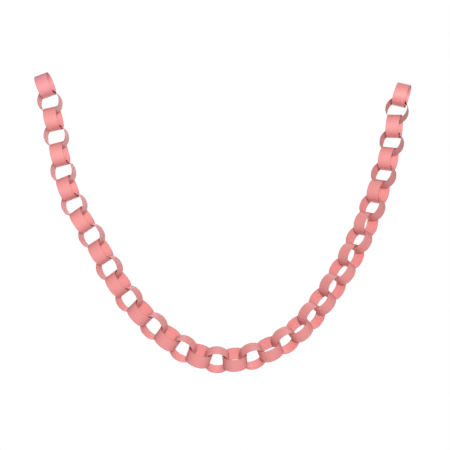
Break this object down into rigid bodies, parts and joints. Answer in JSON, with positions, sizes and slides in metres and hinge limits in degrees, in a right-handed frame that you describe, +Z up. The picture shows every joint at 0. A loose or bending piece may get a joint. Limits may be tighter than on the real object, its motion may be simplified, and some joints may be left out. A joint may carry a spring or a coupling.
{
  "type": "paper chain garland",
  "caption": "Paper chain garland: interlinked rings of coral-pink card, each a strip rolled and glued, hanging in a deep curve between two end loops.",
  "frame": {"origin": "inside of the top of the left end ring, where a hook or pin carries it", "axes": "+Z up, +X from the left end ring to the right end ring, -Y towards the viewer; the hanging curve lies in the XZ plane"},
  "size_m": [1.1038, 0.0733, 0.8588],
  "materials": {
    "coral_card": "matt"
  },
  "bodies": {
    "root": {"link_01": "coral_card", "link_02": "coral_card", "link_03": "coral_card", "link_04": "coral_card", "link_05": "coral_card", "link_06": "coral_card", "link_07": "coral_card", "link_08": "coral_card", "link_09": "coral_card", "link_10": "coral_card", "link_11": "coral_card", "link_12": "coral_card", "link_13": "coral_card", "link_14": "coral_card", "link_15": "coral_card", "link_16": "coral_card", "link_17": "coral_card", "link_18": "coral_card", "link_19": "coral_card", "link_20": "coral_card", "link_21": "coral_card", "link_22": "coral_card", "link_23": "coral_card", "link_24": "coral_card", "link_25": "coral_card", "link_26": "coral_card", "link_27": "coral_card", "link_28": "coral_card", "link_29": "coral_card", "link_30": "coral_card", "link_31": "coral_card", "link_32": "coral_card", "link_33": "coral_card", "link_34": "coral_card", "link_35": "coral_card", "link_36": "coral_card", "link_37": "coral_card", "link_38": "coral_card", "link_39": "coral_card", "link_40": "coral_card"}
  },
  "joints": []
}
